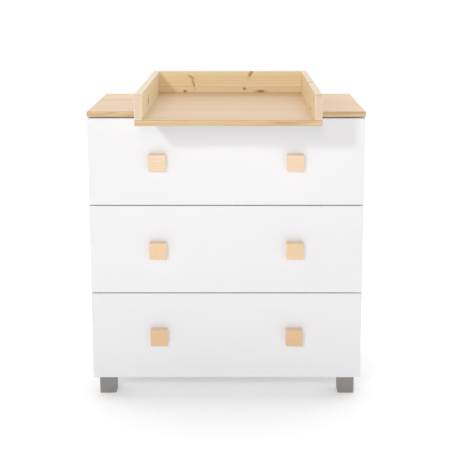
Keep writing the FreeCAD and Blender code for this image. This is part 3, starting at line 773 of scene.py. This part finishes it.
def threaded_shank(form, place, way, radius, length):
    """Adds a shank with thread ridges and a tapered tip, from place along way."""
    stand = standing(place, way)
    root = radius * THREAD_ROOT
    profile = [(0.0, root)]
    depth = THREAD_PITCH
    while depth < length - 2 * THREAD_PITCH:
        profile += [(depth, root), (depth + THREAD_PITCH / 2, radius)]
        depth += THREAD_PITCH
    profile += [(depth, root), (length, radius * THREAD_TIP)]
    rings = [ring_of(form, stand, size, depth, SHANK_SIDES) for depth, size in profile]
    for near, far in zip(rings, rings[1:]):
        join_rings(form, near, far)
    form.faces.new(list(reversed(rings[0])))
    form.faces.new(rings[-1])


def shells_of(node):
    """The corners of each separate solid of a CAD node."""
    form = bmesh.new()
    form.from_mesh(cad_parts[node].data)
    bmesh.ops.remove_doubles(form, verts=form.verts, dist=WELD)
    shells = []
    seen = set()
    for first in form.verts:
        if first.index in seen:
            continue
        seen.add(first.index)
        waiting = [first]
        corners = []
        while waiting:
            vertex = waiting.pop()
            corners.append(vertex.co.copy())
            for edge in vertex.link_edges:
                other = edge.other_vert(vertex)
                if other.index not in seen:
                    seen.add(other.index)
                    waiting.append(other)
        shells.append(corners)
    form.free()
    return shells


def screws_of(node):
    """For each screw of a node: its seat, the way its head faces, the head's radius and height, and
    the shank's length."""
    found = []
    for corners in shells_of(node):
        low = Vector([min(corner[axis] for corner in corners) for axis in range(3)])
        high = Vector([max(corner[axis] for corner in corners) for axis in range(3)])
        span = high - low
        axis = max(range(3), key=lambda number: span[number])
        along = Vector((0, 0, 0))
        along[axis] = 1
        radius = min(span) / 2
        centre = (low + high) / 2
        reach = HEAD_SHARE * radius
        head = [corner[axis] for corner in corners if (corner - centre).cross(along).length > reach]
        outward = 1 if sum(head) / len(head) > centre[axis] else -1
        seat = min(head) if outward > 0 else max(head)
        top = high[axis] if outward > 0 else low[axis]
        tip = low[axis] if outward > 0 else high[axis]
        place = centre.copy()
        place[axis] = seat
        found.append((place, along * outward, radius, abs(top - seat), abs(seat - tip)))
    return found


def recessed_screws(node, body, steel):
    """Screws with a crowned head and a cross recess, in the places of a CAD node's plain ones."""
    form = bmesh.new()
    for place, way, radius, head, shank in screws_of(node):
        screw_head(form, place, way, radius, head)
        threaded_shank(form, place, -way, radius / 2, shank)
    piece = piece_from(node + "_recessed", form, body, steel)
    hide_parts(node)


def screw_row(name, body, member, shares, web, facing, head, steel):
    """Heads along a slide member, at shares of its length, on a web that faces one way along x."""
    low, high = member
    form = bmesh.new()
    for share in shares:
        place = Vector((web, low.y + share * (high.y - low.y), (low.z + high.z) / 2))
        screw_head(form, place, Vector((facing, 0, 0)), *head)
    piece_from(name, form, body, steel)


def slide_cages(level, side, cage_material, ball_material):
    """A slide's outer and inner ball cage with their balls, all on the middle member."""
    cabinet_low, cabinet_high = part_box(f"slide_{level}_{side}_cabinet_rail")
    middle_low, middle_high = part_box(f"slide_{level}_middle_rails")
    drawer_low, drawer_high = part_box(f"slide_{level}_{side}_drawer_rail")
    body = f"middle_rails_{level}"
    centre = (cabinet_low.z + cabinet_high.z) / 2
    cabinet_half = (cabinet_high.z - cabinet_low.z) / 2
    middle_half = (middle_high.z - middle_low.z) / 2
    drawer_half = (drawer_high.z - drawer_low.z) / 2
    cabinet_web = max(abs(cabinet_low.x), abs(cabinet_high.x)) - RAIL_SHEET
    middle_web = middle_high.x
    outer = (centre, (cabinet_half - RAIL_SHEET + middle_half) / 2)
    inner = (centre, (middle_half - RAIL_SHEET + drawer_half) / 2)
    outer_web = (cabinet_web + middle_web) / 2
    inner_web = middle_web - RAIL_SHEET - CAGE_SHEET
    places = ball_cage(f"cage_outer_{level}_{side}", body, side, outer_web, middle_web - OUTER_LIPS,
                       outer, middle_high.y - CAGE_LENGTH, cage_material)
    balls(f"balls_outer_{level}_{side}", body, side, middle_web - OUTER_BALLS, outer,
          OUTER_BALL_RADIUS, places, ball_material)
    places = ball_cage(f"cage_inner_{level}_{side}", body, side, inner_web, inner_web - INNER_LIPS,
                       inner, middle_low.y, cage_material)
    balls(f"balls_inner_{level}_{side}", body, side, middle_web - INNER_BALLS, inner,
          INNER_BALL_RADIUS, places, ball_material)


def slide_screws(level, side, steel):
    """Flush screws in the cabinet member and round-headed ones in the drawer member."""
    sign = OUTWARD[side]
    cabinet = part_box(f"slide_{level}_{side}_cabinet_rail")
    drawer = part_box(f"slide_{level}_{side}_drawer_rail")
    cabinet_web = max(abs(corner.x) for corner in cabinet) - RAIL_SHEET
    drawer_web = min(abs(corner.x) for corner in drawer) + RAIL_SHEET
    screw_row(f"slide_screws_cabinet_{level}_{side}", "root", cabinet, CABINET_SCREWS,
              sign * cabinet_web, -sign, FLUSH_HEAD, steel)
    screw_row(f"slide_screws_drawer_{level}_{side}", f"drawer_{level}", drawer, DRAWER_SCREWS,
              sign * drawer_web, sign, ROUND_HEAD, steel)


def slide_details(steel):
    """The balls, their cages and the screws that hold the outer and the inner members."""
    cage_material = moulded_white("cage_plastic")
    ball_material = polished("ball_steel")
    for level in LEVELS:
        for side in SIDES:
            slide_cages(level, side, cage_material, ball_material)
            slide_screws(level, side, steel)


# ---------------------------------------------------------------- floor, light and camera

FLOOR_SIZE = 60
FLOOR_WHITE = srgb(250, 250, 250)
FLOOR_GLOW = 0.175
SKY_BASE = 0.42
SKY_REAR = 1.08
SKY_LOW = 0.6
LENS = 84.15
SHIFT_X = -0.0138
SHIFT_Y = -0.13
CAMERA_PLACE = (0.0382, -3.6745, 1.4092)
DEGREES_DOWN = 10.36


def make_stage():
    """A seamless white floor that glows a little, so that it is as white as the backdrop."""
    bpy.ops.mesh.primitive_plane_add(size=FLOOR_SIZE)
    floor = bpy.context.object
    floor.name = "floor"
    graph = Graph("floor_paper")
    tooth = graph.noise(graph.place, (300.0, 300.0, 300.0), detail=1)
    colour = graph.tinted(FLOOR_WHITE, tooth, 0.004)
    graph.surface(colour, 0.9)
    graph.shader.inputs["Specular IOR Level"].default_value = 0.0
    graph.shader.inputs["Emission Color"].default_value = (1, 1, 1, 1)
    graph.shader.inputs["Emission Strength"].default_value = FLOOR_GLOW
    floor.data.materials.append(graph.material)


def make_world():
    """A white studio: bright above and behind the table, weaker low behind it and weakest all round.
    The camera itself sees nothing darker than plain white."""
    world = bpy.data.worlds.new("studio")
    bpy.context.scene.world = world
    world.use_nodes = True
    nodes = world.node_tree.nodes
    links = world.node_tree.links
    direction = nodes.new("ShaderNodeTexCoord")
    split = nodes.new("ShaderNodeSeparateXYZ")
    links.new(direction.outputs["Generated"], split.inputs[0])

    def band(axis, start, end, at_start, at_end):
        """Fades from one strength to another as the direction's share along an axis grows."""
        fade = nodes.new("ShaderNodeMapRange")
        fade.interpolation_type = "SMOOTHSTEP"
        fade.inputs["From Min"].default_value = start
        fade.inputs["From Max"].default_value = end
        fade.inputs["To Min"].default_value = at_start
        fade.inputs["To Max"].default_value = at_end
        links.new(split.outputs[axis], fade.inputs["Value"])
        return fade.outputs[0]

    def together(operation, first, second):
        made = nodes.new("ShaderNodeMath")
        made.operation = operation
        links.new(first, made.inputs[0])
        links.new(second, made.inputs[1])
        return made.outputs[0]

    rear = together("MULTIPLY", band("Z", 0.1, 0.5, 0.0, 1.0), band("Y", -0.1, 0.3, 0.0, SKY_REAR))
    low_rear = together("MULTIPLY", band("Z", 0.3, 0.5, 1.0, 0.0), band("Y", 0.0, 0.6, 0.0, SKY_LOW))
    all_round = band("Z", -1.0, -0.9, 0.0, SKY_BASE)
    lit = together("ADD", all_round, together("ADD", rear, low_rear))
    seen = nodes.new("ShaderNodeLightPath").outputs["Is Camera Ray"]
    shown = together("MAXIMUM", lit, seen)
    nodes["Background"].inputs["Color"].default_value = (1, 1, 1, 1)
    links.new(shown, nodes["Background"].inputs["Strength"])


def soft_box(name, aim, bearing, elevation, distance, width, height, power):
    """A rectangular lamp that faces a point, from a bearing round it and an elevation in degrees."""
    data = bpy.data.lights.new(name, "AREA")
    data.shape = "RECTANGLE"
    data.size = width
    data.size_y = height
    data.energy = power
    lamp = bpy.data.objects.new(name, data)
    turn = math.radians(bearing)
    rise = math.radians(elevation)
    back = Vector((math.sin(turn) * math.cos(rise), -math.cos(turn) * math.cos(rise), math.sin(rise)))
    lamp.location = aim + back * distance
    lamp.rotation_euler = back.to_track_quat("Z", "Y").to_euler()
    lamp.visible_camera = False
    bpy.context.scene.collection.objects.link(lamp)


def make_lights():
    """A key from the left, a front light that puts the shadow under the tray, and a weak low light
    from the right that reaches the inside of the left rail."""
    aim = Vector((0, cad_low.y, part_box("top_board")[0].z))
    soft_box("key", aim, bearing=-18, elevation=18, distance=4.0, width=0.30, height=0.26, power=42)
    soft_box("front", aim, bearing=-1, elevation=12.5, distance=4.2, width=0.4, height=0.62, power=25)
    soft_box("counter", aim, bearing=33, elevation=2, distance=3.6, width=0.3, height=0.15, power=9)


def make_camera():
    """Above the tray, a little to the right of the middle, looking slightly down. The shift keeps
    the upright edges nearly parallel."""
    data = bpy.data.cameras.new("camera")
    data.lens = LENS
    data.sensor_width = 36
    data.shift_x = SHIFT_X
    data.shift_y = SHIFT_Y
    camera = bpy.data.objects.new("camera", data)
    camera.location = CAMERA_PLACE
    camera.rotation_euler = (math.radians(90 - DEGREES_DOWN), 0, 0)
    bpy.context.scene.collection.objects.link(camera)
    bpy.context.scene.camera = camera


make_camera()
make_world()
make_lights()
make_stage()
dress_tray()
dress_carcass()
dress_drawers()
fastener_zinc = dress_steel()
slide_details(fastener_zinc)
recessed_screws("tray_bracket_screws", "root", fastener_zinc)
for level in LEVELS:
    recessed_screws("knob_screws_" + level, "drawer_" + level, fastener_zinc)
bpy.context.scene.view_settings.view_transform = "Standard"
